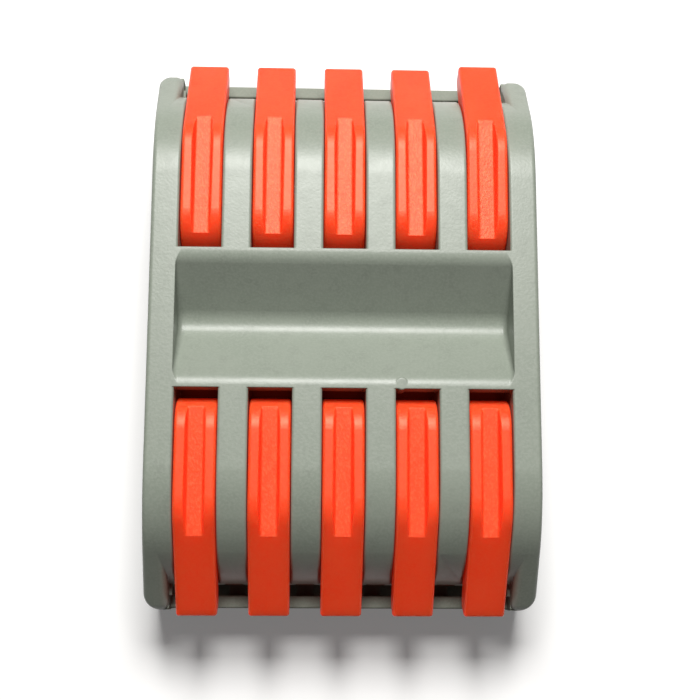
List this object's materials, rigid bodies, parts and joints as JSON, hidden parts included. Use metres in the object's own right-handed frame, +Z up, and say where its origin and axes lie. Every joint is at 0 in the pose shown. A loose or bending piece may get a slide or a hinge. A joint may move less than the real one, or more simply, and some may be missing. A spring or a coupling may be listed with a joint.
{
  "type": "lever wire connector",
  "caption": "Inline lever wire connector that joins wires end to end, with levers at both ends, cage clamps inside and a V-shaped trough across the middle.",
  "frame": {"origin": "centre of the flat underside", "axes": "+Y along the wires, towards the far row of levers; +X across the poles; +Z up out of the lever side"},
  "size_m": [0.031, 0.0451, 0.0143],
  "materials": {
    "housing_grey": "satin moulded polyamide",
    "lever_orange": "satin moulded polyamide, orange-red",
    "spring_steel": "rolled stainless strip",
    "tinned_copper": "hot-tinned copper"
  },
  "bodies": {
    "housing": {"upper_housing": "housing_grey", "lower_housing": "housing_grey", "conductor_bar_1": "tinned_copper", "conductor_bar_2": "tinned_copper", "conductor_bar_3": "tinned_copper", "conductor_bar_4": "tinned_copper", "conductor_bar_5": "tinned_copper", "clamp_spring_far_1": "spring_steel", "clamp_spring_far_2": "spring_steel", "clamp_spring_far_3": "spring_steel", "clamp_spring_far_4": "spring_steel", "clamp_spring_far_5": "spring_steel", "clamp_spring_near_1": "spring_steel", "clamp_spring_near_2": "spring_steel", "clamp_spring_near_3": "spring_steel", "clamp_spring_near_4": "spring_steel", "clamp_spring_near_5": "spring_steel"},
    "lever_far_1": {"lever_far_1": "lever_orange"},
    "lever_far_2": {"lever_far_2": "lever_orange"},
    "lever_far_3": {"lever_far_3": "lever_orange"},
    "lever_far_4": {"lever_far_4": "lever_orange"},
    "lever_far_5": {"lever_far_5": "lever_orange"},
    "lever_near_1": {"lever_near_1": "lever_orange"},
    "lever_near_2": {"lever_near_2": "lever_orange"},
    "lever_near_3": {"lever_near_3": "lever_orange"},
    "lever_near_4": {"lever_near_4": "lever_orange"},
    "lever_near_5": {"lever_near_5": "lever_orange"}
  },
  "joints": [
    {"name": "lever_far_1_hinge", "type": "hinge", "parent": "housing", "child": "lever_far_1", "pos_m": [-0.0112, 0.0094, 0.0106], "axis": [1, 0, 0], "range_deg": [0, 95], "deforming": ["clamp_spring_far_1"]},
    {"name": "lever_far_2_hinge", "type": "hinge", "parent": "housing", "child": "lever_far_2", "pos_m": [-0.0056, 0.0094, 0.0106], "axis": [1, 0, 0], "range_deg": [0, 95], "deforming": ["clamp_spring_far_2"]},
    {"name": "lever_far_3_hinge", "type": "hinge", "parent": "housing", "child": "lever_far_3", "pos_m": [0, 0.0094, 0.0106], "axis": [1, 0, 0], "range_deg": [0, 95], "deforming": ["clamp_spring_far_3"]},
    {"name": "lever_far_4_hinge", "type": "hinge", "parent": "housing", "child": "lever_far_4", "pos_m": [0.0056, 0.0094, 0.0106], "axis": [1, 0, 0], "range_deg": [0, 95], "deforming": ["clamp_spring_far_4"]},
    {"name": "lever_far_5_hinge", "type": "hinge", "parent": "housing", "child": "lever_far_5", "pos_m": [0.0112, 0.0094, 0.0106], "axis": [1, 0, 0], "range_deg": [-3, 92], "deforming": ["clamp_spring_far_5"]},
    {"name": "lever_near_1_hinge", "type": "hinge", "parent": "housing", "child": "lever_near_1", "pos_m": [-0.0112, -0.0094, 0.0106], "axis": [-1, 0, 0], "range_deg": [0, 95], "deforming": ["clamp_spring_near_1"]},
    {"name": "lever_near_2_hinge", "type": "hinge", "parent": "housing", "child": "lever_near_2", "pos_m": [-0.0056, -0.0094, 0.0106], "axis": [-1, 0, 0], "range_deg": [0, 95], "deforming": ["clamp_spring_near_2"]},
    {"name": "lever_near_3_hinge", "type": "hinge", "parent": "housing", "child": "lever_near_3", "pos_m": [0, -0.0094, 0.0106], "axis": [-1, 0, 0], "range_deg": [0, 95], "deforming": ["clamp_spring_near_3"]},
    {"name": "lever_near_4_hinge", "type": "hinge", "parent": "housing", "child": "lever_near_4", "pos_m": [0.0056, -0.0094, 0.0106], "axis": [-1, 0, 0], "range_deg": [0, 95], "deforming": ["clamp_spring_near_4"]},
    {"name": "lever_near_5_hinge", "type": "hinge", "parent": "housing", "child": "lever_near_5", "pos_m": [0.0112, -0.0094, 0.0106], "axis": [-1, 0, 0], "range_deg": [0, 95], "deforming": ["clamp_spring_near_5"]}
  ]
}
